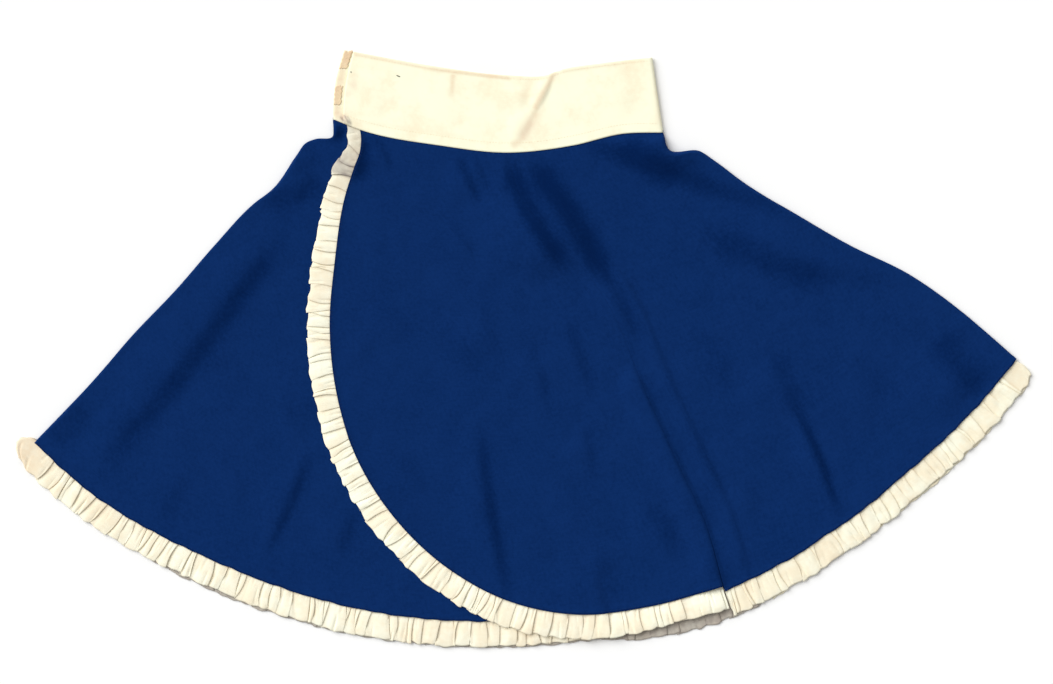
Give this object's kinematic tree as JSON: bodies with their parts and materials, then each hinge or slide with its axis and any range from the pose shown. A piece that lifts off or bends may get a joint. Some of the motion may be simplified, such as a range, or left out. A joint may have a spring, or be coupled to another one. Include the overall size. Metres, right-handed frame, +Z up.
{
  "type": "wrap circle skirt",
  "caption": "Wrap-over circle skirt laid flat: blue gores, tall cream waistband, rounded overlap and gathered cream ruffle along edge and hem.",
  "frame": {"origin": "on the surface that the skirt lies on, under the middle of its outline", "axes": "+Z up out of the pile of cloth, +Y from the hem towards the waistband, +X towards the wearer's left, the side away from the wrap's free edge"},
  "size_m": [1.0146, 0.5969, 0.0094],
  "materials": {
    "blue_cloth": "matt plain-woven deep blue cotton",
    "cream_band": "matt plain-woven cream cotton, doubled and slightly yellowed",
    "cream_ruffle": "matt cream cotton, tucked, aged along the folds",
    "tan_tape": "matt discoloured tan tape"
  },
  "bodies": {
    "root": {"front_over": "blue_cloth", "side_right": "blue_cloth", "front_under": "blue_cloth", "back": "blue_cloth", "waistband": "cream_band", "closure_tape_upper": "tan_tape", "closure_tape_lower": "tan_tape", "ruffle_over": "cream_ruffle", "ruffle_right": "cream_ruffle", "ruffle_left": "cream_ruffle", "ruffle_back": "cream_ruffle"}
  },
  "joints": []
}
